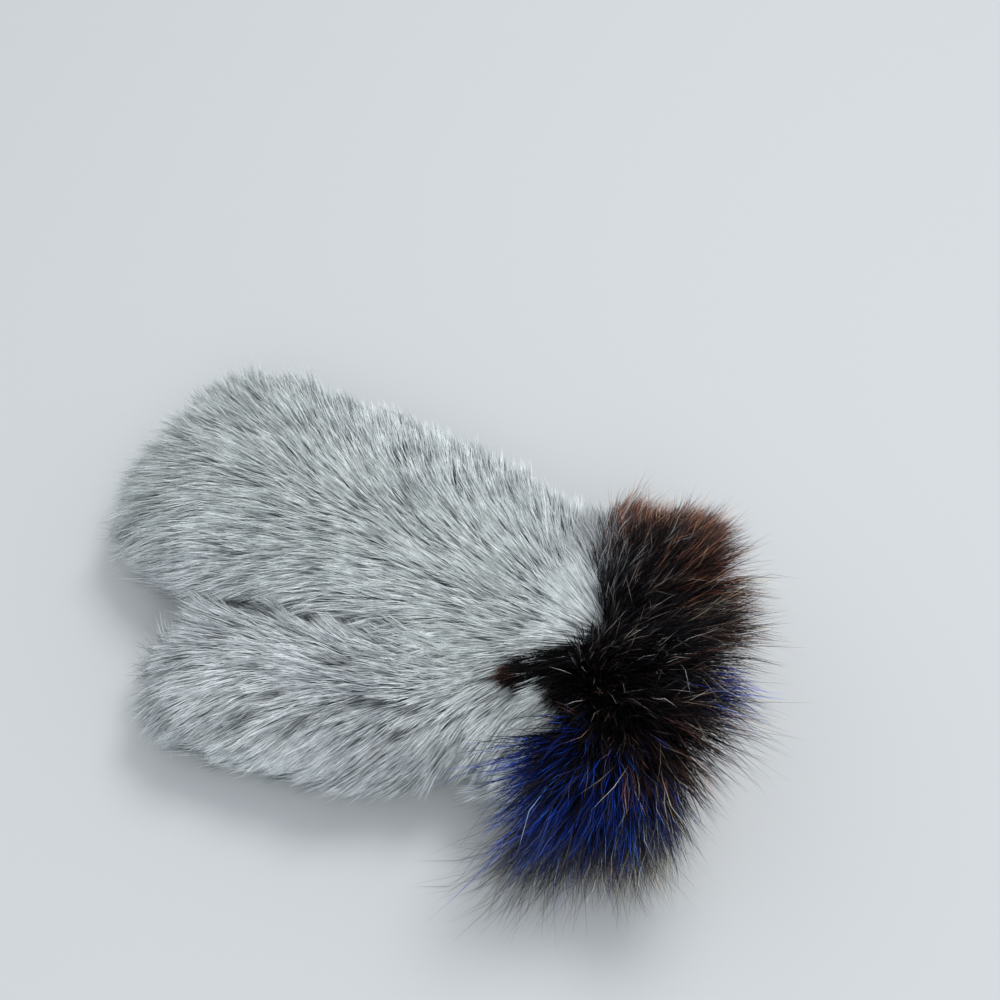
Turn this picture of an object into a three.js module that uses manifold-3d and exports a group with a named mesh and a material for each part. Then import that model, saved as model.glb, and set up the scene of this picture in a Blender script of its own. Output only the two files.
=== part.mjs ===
// Right-hand fur mitten, lying palm down on a floor at Z = 0. Millimetres, +Z up.
// -X points to the fingertips, +X out of the wrist opening, and the thumb is on the -Y side.
// Two hollow bags of short silver fur, one for the hand and one for the thumb, and a cuff of
// long dyed fur round the wrist. Each is a pelt with a dense pile, and locks of fur fused to it.
import * as THREE from "three";
import { mergeVertices } from "three/addons/utils/BufferGeometryUtils.js";
import Module from "manifold-3d";

const degrees = THREE.MathUtils.degToRad;

// Hand bag, measured on its leather
const HAND_LENGTH = 192;
const HAND_WIDTH = 94;
const HAND_HEIGHT = 40;

// Thumb bag, measured on its leather. Its tip lies THUMB_BACK behind the fingertips.
const THUMB_LENGTH = 122;
const THUMB_WIDTH = 46;
const THUMB_HEIGHT = 31;
const THUMB_SPLAY = degrees(15);
const THUMB_BACK = 56;

// Wrist cuff, measured on its leather band, which turns by CUFF_TURN from the hand's line
const CUFF_LENGTH = 38;
const CUFF_TURN = degrees(14);
const MOUTH_WIDTH = 98;
const MOUTH_HEIGHT = 38;
const MOUTH_LIFT = 3;

const LEATHER = 2;
const SEAM_GAP = 0.3;

// Dense pile over the leather. The palm rests on fur that is pressed down to PALM_PILE, and the
// long fur on top of the cuff sinks by the share CUFF_SINK under its own weight.
const PILE = 7;
const PALM_PILE = 4;
const CUFF_PILE = 15;
const CUFF_SINK = 0.28;

// Locks of short fur: the pitch of their feet, how far they lean out and fan to the sides, and how
// unevenly they lie
const SHORT_LOCK = { length: 25, width: 14, height: 4, pitch: 16 };
const SHORT_LEAN = degrees(13);
const SHORT_SWEEP = 0.55;
const SHORT_UNEVEN = { share: 0.012, turn: 0.06, length: 0.2, sweep: 0.15 };

// Locks of long fur stand in rows round the cuff and spread from the hand to the mouth
const LONG_LOCK = { length: 26, width: 19, height: 10, pitch: 18.5 };
const LONG_COUNT = 5;
const LONG_SPREAD = degrees(56);
const LONG_UNEVEN = { turn: 0.08, tilt: 0.15, length: 0.2 };

const RING_SIDES = 26;
const HOLLOW_SIDES = 20;
const FULLNESS = 2.3;
const WELD = 1e-4;
const FAR = 2 * (HAND_LENGTH + CUFF_LENGTH);
const TIP_X = -HAND_LENGTH / 2;
const WRIST_X = HAND_LENGTH / 2;
const PALM_MIDDLE = PALM_PILE + HAND_HEIGHT / 2;

// Sections of each bag from its tip to its root. along is a share of the length, width and side
// are shares of the width, height and raise of the height. side moves a section to the thumb's
// side and raise lifts it.
const HAND_SECTIONS = [
  { along: 0.0, width: 0.26, height: 0.14, side: -0.05, raise: -0.12 },
  { along: 0.03, width: 0.66, height: 0.5, side: -0.04, raise: -0.1 },
  { along: 0.08, width: 0.86, height: 0.74, side: -0.02, raise: -0.07 },
  { along: 0.16, width: 0.98, height: 0.92, side: -0.01, raise: -0.03 },
  { along: 0.28, width: 1.01, height: 1.02, side: 0.0, raise: 0.0 },
  { along: 0.44, width: 1.02, height: 1.06, side: 0.0, raise: 0.02 },
  { along: 0.6, width: 1.02, height: 1.02, side: 0.02, raise: 0.02 },
  { along: 0.76, width: 1.05, height: 0.96, side: 0.07, raise: 0.02 },
  { along: 0.9, width: 1.07, height: 0.92, side: 0.12, raise: 0.06 },
  { along: 1.0, width: 1.06, height: 0.92, side: 0.15, raise: 0.14 },
];
const THUMB_SECTIONS = [
  { along: 0.0, width: 0.12, height: 0.12, side: 0.0, raise: -0.05 },
  { along: 0.05, width: 0.68, height: 0.58, side: 0.0, raise: -0.04 },
  { along: 0.13, width: 0.92, height: 0.86, side: 0.0, raise: -0.02 },
  { along: 0.26, width: 1.03, height: 1.0, side: 0.0, raise: 0.0 },
  { along: 0.45, width: 1.06, height: 1.06, side: 0.02, raise: 0.04 },
  { along: 0.65, width: 1.08, height: 1.1, side: 0.0, raise: 0.08 },
  { along: 0.82, width: 1.04, height: 1.04, side: -0.16, raise: 0.1 },
  { along: 1.0, width: 0.8, height: 0.9, side: -0.45, raise: 0.12 },
];

// The cuff's pile is a share of CUFF_PILE, and its band runs from the wrist to the mouth.
const CUFF_PILES = [
  { along: 0.0, pile: 0.5 },
  { along: 0.2, pile: 0.9 },
  { along: 0.5, pile: 1.0 },
  { along: 0.8, pile: 0.85 },
  { along: 1.0, pile: 0.3 },
];

// A lock is a three-sided blade: its foot is sunk in the pile, its ridge stands up half way along
// and it ends in a point. Rows run from its foot to its tip, in shares of its sizes.
const SHORT_ROWS = [
  { along: -0.08, width: 0.62, ridge: 0.1, edge: -1.0 },
  { along: 0.45, width: 1.0, ridge: 1.0, edge: -0.3 },
  { along: 1.0, width: 0.0, ridge: 0.8, edge: 0.8 },
];
const LONG_ROWS = [
  { along: -0.12, width: 0.8, ridge: 0.5, edge: -0.6 },
  { along: 0.5, width: 1.0, ridge: 0.8, edge: -0.6 },
  { along: 1.0, width: 0.0, ridge: 0.2, edge: 0.2 },
];

const wasm = await Module();
wasm.setup();

function solidOf(geometry) {
  geometry.deleteAttribute("normal");
  geometry.deleteAttribute("uv");
  const merged = mergeVertices(geometry, WELD);
  return new wasm.Manifold(
    new wasm.Mesh({
      numProp: 3,
      vertProperties: new Float32Array(merged.attributes.position.array),
      triVerts: new Uint32Array(merged.index.array),
    }),
  );
}

function meshOf(solid, name, material) {
  const found = solid.getMesh();
  const geometry = new THREE.BufferGeometry()
    .setAttribute("position", new THREE.BufferAttribute(found.vertProperties, 3))
    .setIndex(new THREE.BufferAttribute(found.triVerts, 1));
  geometry.computeVertexNormals();
  const mesh = new THREE.Mesh(geometry, material);
  mesh.name = name;
  return mesh;
}

function union(solids) {
  let left = solids;
  while (left.length > 1) {
    const joined = [];
    for (let i = 0; i < left.length; i += 2)
      joined.push(i + 1 < left.length ? left[i].add(left[i + 1]) : left[i]);
    left = joined;
  }
  return left[0];
}

// The largest piece of a solid, without bubbles shut in between locks or bits cut off their tips.
function largest(solid) {
  return solid.decompose().reduce((best, piece) => (piece.volume() > best.volume() ? piece : best));
}

// Repeatable numbers from -1 to 1, so that every build lays the same locks.
function scatterFrom(seed) {
  let state = seed;
  return () => {
    state = (Math.imul(state, 1664525) + 1013904223) >>> 0;
    return state / 2 ** 31 - 1;
  };
}

function columnAt(rows, share, column) {
  const next = rows.findIndex((row) => row.along >= share);
  if (next === 0) return rows[0][column];
  if (next < 0) return rows[rows.length - 1][column];
  const [low, high] = [rows[next - 1], rows[next]];
  const mix = (share - low.along) / (high.along - low.along);
  return THREE.MathUtils.lerp(low[column], high[column], mix);
}

// A bag strings its sections along a level line from its tip. point gives a place on its leather
// at a share of the length and an angle round it, 0 at the +Y side and 90 degrees at the back of
// the hand. normal points out of it there, and off gives the place at a height above it.
function bagOf({ sections, tip, heading, length, width, height }) {
  const axis = new THREE.Vector3(Math.cos(heading), Math.sin(heading), 0);
  const across = new THREE.Vector3(-axis.y, axis.x, 0);
  const up = new THREE.Vector3(0, 0, 1);
  const round = (value) => Math.sign(value) * Math.abs(value) ** (2 / FULLNESS);
  const [step, turn] = [0.02, 0.05];
  const point = (share, angle) => {
    const at = (column) => columnAt(sections, share, column);
    return tip
      .clone()
      .addScaledVector(axis, share * length)
      .addScaledVector(across, (round(Math.cos(angle)) * at("width") * width) / 2)
      .addScaledVector(across, -at("side") * width)
      .addScaledVector(up, (round(Math.sin(angle)) * at("height") * height) / 2)
      .addScaledVector(up, at("raise") * height);
  };
  const normal = (share, angle) => {
    const before = THREE.MathUtils.clamp(share - step, 0, 1 - step);
    const after = THREE.MathUtils.clamp(share + step, step, 1);
    const down = point(after, angle).sub(point(before, angle));
    const around = point(share, angle + turn).sub(point(share, angle - turn));
    return around.cross(down).normalize();
  };
  const off = (share, angle, rise) => point(share, angle).addScaledVector(normal(share, angle), rise);
  return { sections, tip, axis, across, length, width, height, normal, off };
}

// A closed geometry through rings with as many points each. Its ends run to the points first and
// last, or to the middle of the end rings.
function lofted(rings, first, last) {
  const sides = rings[0].length;
  const points = rings.flat();
  const index = [];
  for (let ring = 0; ring + 1 < rings.length; ring++)
    for (let i = 0; i < sides; i++) {
      const [a, b] = [ring * sides + i, ring * sides + ((i + 1) % sides)];
      index.push(a, b, a + sides, b, b + sides, a + sides);
    }
  const middle = (start) =>
    points
      .slice(start, start + sides)
      .reduce((sum, point) => sum.addScaledVector(point, 1 / sides), new THREE.Vector3());
  const close = (start, end, flip) => {
    points.push(end);
    for (let i = 0; i < sides; i++) {
      const [a, b] = [start + i, start + ((i + 1) % sides)];
      index.push(...(flip ? [a, b] : [b, a]), points.length - 1);
    }
  };
  const top = (rings.length - 1) * sides;
  close(0, first ?? middle(0), false);
  close(top, last ?? middle(top), true);
  return new THREE.BufferGeometry().setFromPoints(points).setIndex(index);
}

function roomBetween(low, high) {
  const [size, middle] = [high.clone().sub(low), high.clone().add(low).divideScalar(2)];
  return solidOf(new THREE.BoxGeometry(...size).translate(...middle));
}

// The solid inside a bag, grown by rise(share, angle), or shrunk where that is negative. before and
// after carry it on past its ends by those shares of its length.
function bodyOf(bag, rise, sides, { before = 0, after = 0 } = {}) {
  const shares = bag.sections.map((row) => row.along);
  if (before) shares.unshift(-before);
  if (after) shares.push(1 + after);
  const angles = Array.from({ length: sides }, (_, i) => (2 * Math.PI * i) / sides);
  const rings = shares.map((share) =>
    angles.map((angle) => bag.off(share, angle, rise(share, angle))),
  );
  return solidOf(lofted(rings));
}

// Whether a point lies inside a bag that is grown by rise.
function within(bag, point, rise) {
  const from = point.clone().sub(bag.tip);
  const share = from.dot(bag.axis) / bag.length;
  if (share * bag.length < -rise || share > 1) return false;
  const at = (column) => columnAt(bag.sections, share, column);
  const aside = from.dot(bag.across) + at("side") * bag.width;
  const above = from.z - at("raise") * bag.height;
  const wide = (at("width") * bag.width) / 2 + rise;
  const tall = (at("height") * bag.height) / 2 + rise;
  return Math.abs(aside / wide) ** FULLNESS + Math.abs(above / tall) ** FULLNESS < 1;
}

// Angles round a bag that stand a pitch apart on its pile, turned on by a share of that pitch.
function anglesRound(bag, share, rise, pitch, turn) {
  const steps = 90;
  const places = Array.from({ length: steps + 1 }, (_, i) =>
    bag.off(share, (2 * Math.PI * i) / steps, rise),
  );
  const run = [0];
  for (let i = 0; i < steps; i++) run.push(run[i] + places[i].distanceTo(places[i + 1]));
  const count = Math.max(4, Math.round(run[steps] / pitch));
  return Array.from({ length: count }, (_, k) => {
    const target = ((k + turn) / count) * run[steps];
    const next = run.findIndex((value) => value > target);
    const mix = (target - run[next - 1]) / (run[next] - run[next - 1]);
    return (2 * Math.PI * (next - 1 + mix)) / steps;
  });
}

// One lock from its foot, pointing along way, with its ridge on the side of out.
function lockAt(foot, way, out, rows, { length, width, height }) {
  const beside = new THREE.Vector3().crossVectors(out, way).normalize();
  const ridge = new THREE.Vector3().crossVectors(way, beside).normalize();
  const place = (along, aside, rise) =>
    foot
      .clone()
      .addScaledVector(way, along * length)
      .addScaledVector(beside, (aside * width) / 2)
      .addScaledVector(ridge, rise * height);
  const rings = rows.slice(0, -1).map((row) => [
    place(row.along, row.width, row.edge),
    place(row.along, 0, row.ridge),
    place(row.along, -row.width, row.edge),
  ]);
  const tip = rows[rows.length - 1];
  return solidOf(lofted(rings, undefined, place(tip.along, 0, tip.ridge)));
}

const alongLock = (foot, way, length) =>
  [0, 0.5, 1].map((share) => foot.clone().addScaledVector(way, share * length));

// Staggered rows of locks on a short-haired bag. They run to its tip and fan out to its sides.
// A lock stays only where clear() is true of its foot, middle and tip.
function shortLocks(bag, seed, clear) {
  const scatter = scatterFrom(seed);
  const locks = [];
  for (let row = 0; row * SHORT_LOCK.pitch < bag.length; row++) {
    const rowShare = (row * SHORT_LOCK.pitch) / bag.length;
    for (const angle of anglesRound(bag, rowShare, PILE, SHORT_LOCK.pitch, (row % 2) / 2)) {
      const share = Math.max(rowShare + SHORT_UNEVEN.share * scatter(), 0);
      const turned = angle + SHORT_UNEVEN.turn * scatter();
      const length = SHORT_LOCK.length * (1 + SHORT_UNEVEN.length * scatter());
      const [foot, out] = [bag.off(share, turned, PILE), bag.normal(share, turned)];
      const way = bag.axis.clone().negate();
      const sweep = Math.cos(turned) * SHORT_SWEEP + SHORT_UNEVEN.sweep * scatter();
      way.addScaledVector(bag.across, sweep);
      way.addScaledVector(out, -way.dot(out)).normalize();
      way.multiplyScalar(Math.cos(SHORT_LEAN)).addScaledVector(out, Math.sin(SHORT_LEAN));
      if (foot.z > PALM_PILE && alongLock(foot, way, length).every(clear))
        locks.push(lockAt(foot, way, out, SHORT_ROWS, { ...SHORT_LOCK, length }));
    }
  }
  return locks;
}

// How much the long fur stands up at an angle round the cuff, and how deep its pile is there.
const stand = (angle) => 1 - CUFF_SINK * Math.max(Math.sin(angle), 0);
const cuffPile = (share, angle) => CUFF_PILE * stand(angle) * columnAt(CUFF_PILES, share, "pile");

// Rows of long locks round the cuff, leaning over the hand at one end and past the mouth at the
// other.
function longLocks(bag, seed) {
  const scatter = scatterFrom(seed);
  const locks = [];
  for (let row = 0; row < LONG_COUNT; row++) {
    const share = (row + 0.5) / LONG_COUNT;
    const lean = THREE.MathUtils.lerp(-LONG_SPREAD, LONG_SPREAD, row / (LONG_COUNT - 1));
    for (const angle of anglesRound(bag, share, CUFF_PILE, LONG_LOCK.pitch, (row % 2) / 2)) {
      const turned = angle + LONG_UNEVEN.turn * scatter();
      const tilt = lean + LONG_UNEVEN.tilt * scatter();
      const length = LONG_LOCK.length * stand(turned) * (1 + LONG_UNEVEN.length * scatter());
      const [out, foot] = [bag.normal(share, turned), bag.off(share, turned, cuffPile(share, turned))];
      const way = out.clone().multiplyScalar(Math.cos(tilt)).addScaledVector(bag.axis, Math.sin(tilt));
      const ridge = out.clone().multiplyScalar(-Math.sin(tilt)).addScaledVector(bag.axis, Math.cos(tilt));
      if (foot.z > 0) locks.push(lockAt(foot, way, ridge, LONG_ROWS, { ...LONG_LOCK, length }));
    }
  }
  return locks;
}

const hand = bagOf({
  sections: HAND_SECTIONS,
  tip: new THREE.Vector3(TIP_X, 0, PALM_MIDDLE),
  heading: 0,
  length: HAND_LENGTH,
  width: HAND_WIDTH,
  height: HAND_HEIGHT,
});

const thumb = bagOf({
  sections: THUMB_SECTIONS,
  tip: new THREE.Vector3(
    TIP_X + THUMB_BACK,
    -(HAND_WIDTH + THUMB_WIDTH) / 2 - 2 * PILE,
    PALM_PILE + THUMB_HEIGHT / 2,
  ),
  heading: THUMB_SPLAY,
  length: THUMB_LENGTH,
  width: THUMB_WIDTH,
  height: THUMB_HEIGHT,
});

// The cuff's band starts as the hand's last section and ends as the mouth.
const wrist = HAND_SECTIONS[HAND_SECTIONS.length - 1];
const cuff = bagOf({
  sections: CUFF_PILES.map(({ along }) => ({
    along,
    width: THREE.MathUtils.lerp((wrist.width * HAND_WIDTH) / MOUTH_WIDTH, 1, along),
    height: THREE.MathUtils.lerp((wrist.height * HAND_HEIGHT) / MOUTH_HEIGHT, 1, along),
    side: 0,
    raise: (MOUTH_LIFT / MOUTH_HEIGHT) * along,
  })),
  tip: new THREE.Vector3(
    WRIST_X + SEAM_GAP,
    -wrist.side * HAND_WIDTH,
    PALM_MIDDLE + wrist.raise * HAND_HEIGHT,
  ),
  heading: CUFF_TURN,
  length: CUFF_LENGTH,
  width: MOUTH_WIDTH,
  height: MOUTH_HEIGHT,
});

// The turned cuff reaches back to the hand's end by the share TURN_BACK of its length.
const OVER = 0.2;
const TURN_BACK = ((MOUTH_WIDTH / 2 + CUFF_PILE) * Math.sin(CUFF_TURN)) / CUFF_LENGTH;
const handHollow = bodyOf(hand, () => -LEATHER, HOLLOW_SIDES, { after: OVER });
const thumbHollow = bodyOf(thumb, () => -LEATHER, HOLLOW_SIDES);
const cuffHollow = bodyOf(cuff, () => -LEATHER, HOLLOW_SIDES, { before: TURN_BACK + OVER, after: OVER });
const thumbSpace = bodyOf(thumb, () => PILE + SEAM_GAP, RING_SIDES);
const overFloor = roomBetween(new THREE.Vector3(-FAR, -FAR, 0), new THREE.Vector3(FAR, FAR, FAR));
const handSide = roomBetween(new THREE.Vector3(-FAR, -FAR, 0), new THREE.Vector3(WRIST_X, FAR, FAR));
const cuffSide = roomBetween(
  new THREE.Vector3(WRIST_X + SEAM_GAP, -FAR, 0),
  new THREE.Vector3(FAR, FAR, FAR),
);
const handSpace = bodyOf(hand, () => PILE + SEAM_GAP, RING_SIDES, { after: OVER }).subtract(cuffSide);

// Short locks keep out from under the cuff's fur, and hand and thumb keep clear of each other.
const lockRise = PILE + SHORT_LOCK.height + SHORT_LOCK.width / 4;
const underCuff = WRIST_X - LONG_LOCK.length * Math.sin(LONG_SPREAD);

function handPelt() {
  const locks = shortLocks(hand, 7, (at) => at.x < underCuff && !within(thumb, at, lockRise));
  const body = bodyOf(hand, () => PILE, RING_SIDES, { after: OVER });
  const fur = largest(union([body, ...locks]));
  return largest(fur.intersect(handSide).subtract(handHollow).subtract(thumbHollow));
}

function thumbPelt() {
  const locks = shortLocks(thumb, 23, (at) => at.x < underCuff && !within(hand, at, lockRise));
  const body = bodyOf(thumb, () => PILE, RING_SIDES);
  const fur = largest(union([body, ...locks]));
  return largest(fur.intersect(overFloor).subtract(handSpace).subtract(thumbHollow));
}

function furCuff() {
  const body = bodyOf(cuff, cuffPile, RING_SIDES, { before: TURN_BACK }).intersect(cuffSide);
  const fur = largest(union([body, ...longLocks(cuff, 41)]));
  return largest(
    fur.intersect(overFloor).subtract(handSpace).subtract(thumbSpace).subtract(cuffHollow),
  );
}

const silverFur = new THREE.MeshStandardMaterial({ color: 0xaeb4bd, roughness: 0.9, metalness: 0 });
const dyedFur = new THREE.MeshStandardMaterial({ color: 0x1d1b26, roughness: 0.8, metalness: 0 });

const mitten = new THREE.Group();
mitten.add(meshOf(handPelt(), "hand_pelt", silverFur));
mitten.add(meshOf(thumbPelt(), "thumb_pelt", silverFur));
mitten.add(meshOf(furCuff(), "fur_cuff", dyedFur));
export default mitten;
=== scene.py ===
# Right-hand fur mitten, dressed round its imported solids: two bags of short silver fur, each an
# underfur skin with laid hair on it, and a ruff of long dyed fur round the wrist. Hair is made of
# thin ribbons, in locks that narrow to their tips. Metres, in the solids' own frame.
import math

import bpy
import numpy as np
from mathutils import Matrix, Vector

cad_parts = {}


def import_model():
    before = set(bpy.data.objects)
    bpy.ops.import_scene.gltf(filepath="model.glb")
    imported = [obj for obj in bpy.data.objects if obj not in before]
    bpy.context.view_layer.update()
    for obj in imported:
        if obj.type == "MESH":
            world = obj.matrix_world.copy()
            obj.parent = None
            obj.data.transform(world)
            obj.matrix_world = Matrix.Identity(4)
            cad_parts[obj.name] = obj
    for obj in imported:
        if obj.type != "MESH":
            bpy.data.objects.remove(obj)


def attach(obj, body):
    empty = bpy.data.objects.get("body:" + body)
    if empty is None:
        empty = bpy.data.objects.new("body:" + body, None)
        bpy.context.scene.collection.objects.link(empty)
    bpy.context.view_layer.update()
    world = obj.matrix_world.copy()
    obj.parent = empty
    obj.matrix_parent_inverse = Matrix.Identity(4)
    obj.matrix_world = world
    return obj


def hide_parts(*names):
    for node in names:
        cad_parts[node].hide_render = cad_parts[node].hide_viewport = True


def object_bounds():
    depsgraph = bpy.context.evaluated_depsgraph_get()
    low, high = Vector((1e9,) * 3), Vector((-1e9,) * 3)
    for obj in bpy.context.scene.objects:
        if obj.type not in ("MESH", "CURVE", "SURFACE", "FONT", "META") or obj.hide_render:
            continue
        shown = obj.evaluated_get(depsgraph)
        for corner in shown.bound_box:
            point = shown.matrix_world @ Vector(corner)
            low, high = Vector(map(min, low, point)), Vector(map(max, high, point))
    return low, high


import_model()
cad_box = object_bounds()

MM = 0.001

# Sizes of the leather, as the solids have them
HAND_LENGTH = 192 * MM
HAND_WIDTH = 94 * MM
HAND_HEIGHT = 40 * MM
THUMB_LENGTH = 122 * MM
THUMB_WIDTH = 46 * MM
THUMB_HEIGHT = 31 * MM
THUMB_SPLAY = math.radians(15)
THUMB_BACK = 56 * MM
CUFF_LENGTH = 38 * MM
MOUTH_WIDTH = 98 * MM
MOUTH_HEIGHT = 38 * MM
MOUTH_LIFT = 3 * MM
CUFF_TURN = math.radians(14)
LEATHER = 2 * MM
SEAM_GAP = 0.3 * MM
PILE = 7 * MM
PALM_PILE = 4 * MM
FULLNESS = 2.3

TIP_X = -HAND_LENGTH / 2
WRIST_X = HAND_LENGTH / 2
PALM_MIDDLE = PALM_PILE + HAND_HEIGHT / 2
FLOOR_CLEARANCE = 0.2 * MM

# Sections from tip to root, in shares: along, width, height, side towards the thumb, raise
COLUMNS = ("along", "width", "height", "side", "raise")
HAND_SECTIONS = (
    (0.0, 0.26, 0.14, -0.05, -0.12),
    (0.03, 0.66, 0.5, -0.04, -0.1),
    (0.08, 0.86, 0.74, -0.02, -0.07),
    (0.16, 0.98, 0.92, -0.01, -0.03),
    (0.28, 1.01, 1.02, 0.0, 0.0),
    (0.44, 1.02, 1.06, 0.0, 0.02),
    (0.6, 1.02, 1.02, 0.02, 0.02),
    (0.76, 1.05, 0.96, 0.07, 0.02),
    (0.9, 1.07, 0.92, 0.12, 0.06),
    (1.0, 1.06, 0.92, 0.15, 0.14),
)
THUMB_SECTIONS = (
    (0.0, 0.12, 0.12, 0.0, -0.05),
    (0.05, 0.68, 0.58, 0.0, -0.04),
    (0.13, 0.92, 0.86, 0.0, -0.02),
    (0.26, 1.03, 1.0, 0.0, 0.0),
    (0.45, 1.06, 1.06, 0.02, 0.04),
    (0.65, 1.08, 1.1, 0.0, 0.08),
    (0.82, 1.04, 1.04, -0.16, 0.1),
    (1.0, 0.8, 0.9, -0.45, 0.12),
)
WRIST = dict(zip(COLUMNS, HAND_SECTIONS[-1]))
WRIST_WIDTH = WRIST["width"] * HAND_WIDTH / MOUTH_WIDTH
WRIST_HEIGHT = WRIST["height"] * HAND_HEIGHT / MOUTH_HEIGHT
CUFF_SECTIONS = (
    (0.0, WRIST_WIDTH, WRIST_HEIGHT, 0.0, 0.0),
    (1.0, 1.0, 1.0, 0.0, MOUTH_LIFT / MOUTH_HEIGHT),
)

# Camera and framing, from the photograph: AIM is seen AIM_RIGHT and AIM_UP from the middle of the
# picture, in shares of the focal length
CAMERA_AZIMUTH = math.radians(27.6)
CAMERA_ELEVATION = math.radians(54.9)
CAMERA_ROLL = math.radians(4.9)
CAMERA_DISTANCE = 622 * MM
CAMERA_FIELD = math.radians(35.75)
AIM = Vector((20, -15, 25)) * MM
AIM_RIGHT = -0.0603
AIM_UP = -0.0584


def srgb(red, green, blue):
    """Linear colour of an 8-bit sRGB one."""
    values = np.array((red, green, blue)) / 255
    return np.where(values <= 0.04045, values / 12.92, ((values + 0.055) / 1.055) ** 2.4)


def unit(vectors):
    return vectors / np.maximum(np.linalg.norm(vectors, axis=-1, keepdims=True), 1e-12)


def rounded(value):
    """Rounds a cosine or sine towards a box, as full as the bags are."""
    return np.sign(value) * np.abs(value) ** (2 / FULLNESS)


class Waves:
    """Smooth noise of about -1 to 1 at points, with features of about a given size."""

    def __init__(self, seed, size, count=24):
        rng = np.random.default_rng(seed)
        self.ways = unit(rng.normal(size=(count, 3))) * rng.uniform(0.6, 1.5, (count, 1)) * math.pi / size
        self.phases = rng.uniform(0, 2 * math.pi, count)
        self.gain = math.sqrt(2 / count)

    def __call__(self, points):
        return np.sin(points @ self.ways.T + self.phases).sum(-1) * self.gain


class Bag:
    """Sections strung along a level line from its tip. Angles run from 0 at the +Y side to 90
    degrees at the back of the hand. In a closed bag, shares below 0 run over its blunt tip. A ring
    with a skew reaches back by that share at its -Y side, to meet a slanting end."""

    CAP = 0.03
    CAP_BULGE = 0.01
    GRID = np.linspace(0, 1, 401)
    SCATTER_ROWS = 181
    SCATTER_COLUMNS = 241

    def __init__(self, sections, tip, heading, length, width, height, skew=0.0, smooth=0.025):
        rows = dict(zip(COLUMNS, np.array(sections).T))
        reach = int(smooth * len(self.GRID))
        kernel = np.hanning(2 * reach + 3)
        self.columns = {}
        for name in COLUMNS[1:]:
            raw = np.interp(self.GRID, rows["along"], rows[name])
            padded = np.pad(raw, reach + 1, mode="reflect", reflect_type="odd")
            self.columns[name] = np.convolve(padded, kernel / kernel.sum(), mode="valid")
        self.skew = skew
        self.first = -skew or -self.CAP
        self.tip = np.array(tip)
        self.axis = np.array((math.cos(heading), math.sin(heading), 0))
        self.across = np.array((-self.axis[1], self.axis[0], 0))
        self.length, self.width, self.height = length, width, height

    def at(self, name, share):
        return np.interp(share, self.GRID, self.columns[name])

    def start(self, angle):
        """The share where a skewed ring starts at each angle."""
        return np.minimum(self.skew * rounded(np.cos(angle)), 0)

    def point(self, share, angle):
        share, angle = np.asarray(share, float), np.asarray(angle, float)
        cap = 1 if self.skew else np.clip(1 + share / self.CAP, 0, 1)
        bulge = np.sqrt(np.clip(1 - cap**2, 0, 1)) * self.CAP_BULGE
        along = (share if self.skew else np.maximum(share, 0)) * self.length - bulge * self.length
        aside = rounded(np.cos(angle)) * self.at("width", share) * self.width / 2 * cap
        aside = aside - self.at("side", share) * self.width
        above = rounded(np.sin(angle)) * self.at("height", share) * self.height / 2 * cap
        above = above + self.at("raise", share) * self.height
        return (
            self.tip
            + along[..., None] * self.axis
            + aside[..., None] * self.across
            + above[..., None] * np.array((0, 0, 1.0))
        )

    def normal(self, share, angle, step=0.012, turn=0.05):
        share, angle = np.asarray(share, float), np.asarray(angle, float)
        low = np.clip(share - step, self.first, 1 - 2 * step)
        down = self.point(low + 2 * step, angle) - self.point(low, angle)
        around = self.point(share, angle + turn) - self.point(share, angle - turn)
        return unit(np.cross(around, down))

    def off(self, share, angle, rise):
        rise = np.broadcast_to(rise, np.shape(share))
        return self.point(share, angle) + rise[..., None] * self.normal(share, angle)

    def grid(self, shares, sides, rise):
        angles = np.arange(sides) * 2 * math.pi / sides
        share, angle = np.meshgrid(shares, angles, indexing="ij")
        share = self.start(angle) + (1 - self.start(angle)) * share
        return self.off(share, angle, rise(share, angle))

    def scattered(self, rng, count, rise, weight):
        """Shares and angles of count places spread evenly by area and a weight."""
        shares = np.linspace(self.first, 1, self.SCATTER_ROWS)
        angles = np.linspace(0, 2 * math.pi, self.SCATTER_COLUMNS)
        share, angle = np.meshgrid(shares, angles, indexing="ij")
        places = self.off(share, angle, rise)
        sides = places[1:, :-1] - places[:-1, :-1], places[:-1, 1:] - places[:-1, :-1]
        area = np.linalg.norm(np.cross(*sides), axis=-1)
        middle_share, middle_angle = share[:-1, :-1], angle[:-1, :-1]
        area = area * weight(places[:-1, :-1], middle_share, middle_angle)
        if self.skew:
            area = area * (middle_share >= self.start(middle_angle))
        pick = rng.choice(area.size, count, p=area.ravel() / area.sum())
        row, column = np.unravel_index(pick, area.shape)
        return (
            shares[row] + rng.random(count) * (shares[1] - shares[0]),
            angles[column] + rng.random(count) * (angles[1] - angles[0]),
        )


hand = Bag(HAND_SECTIONS, (TIP_X, 0, PALM_MIDDLE), 0, HAND_LENGTH, HAND_WIDTH, HAND_HEIGHT)
thumb = Bag(
    THUMB_SECTIONS,
    (TIP_X + THUMB_BACK, -(HAND_WIDTH + THUMB_WIDTH) / 2 - 2 * PILE, PALM_PILE + THUMB_HEIGHT / 2),
    THUMB_SPLAY,
    THUMB_LENGTH,
    THUMB_WIDTH,
    THUMB_HEIGHT,
)
cuff = Bag(
    CUFF_SECTIONS,
    (WRIST_X + SEAM_GAP, -WRIST["side"] * HAND_WIDTH, PALM_MIDDLE + WRIST["raise"] * HAND_HEIGHT),
    CUFF_TURN,
    CUFF_LENGTH,
    MOUTH_WIDTH,
    MOUTH_HEIGHT,
    skew=math.tan(CUFF_TURN) * WRIST["width"] * HAND_WIDTH / 2 / CUFF_LENGTH,
)


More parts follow.
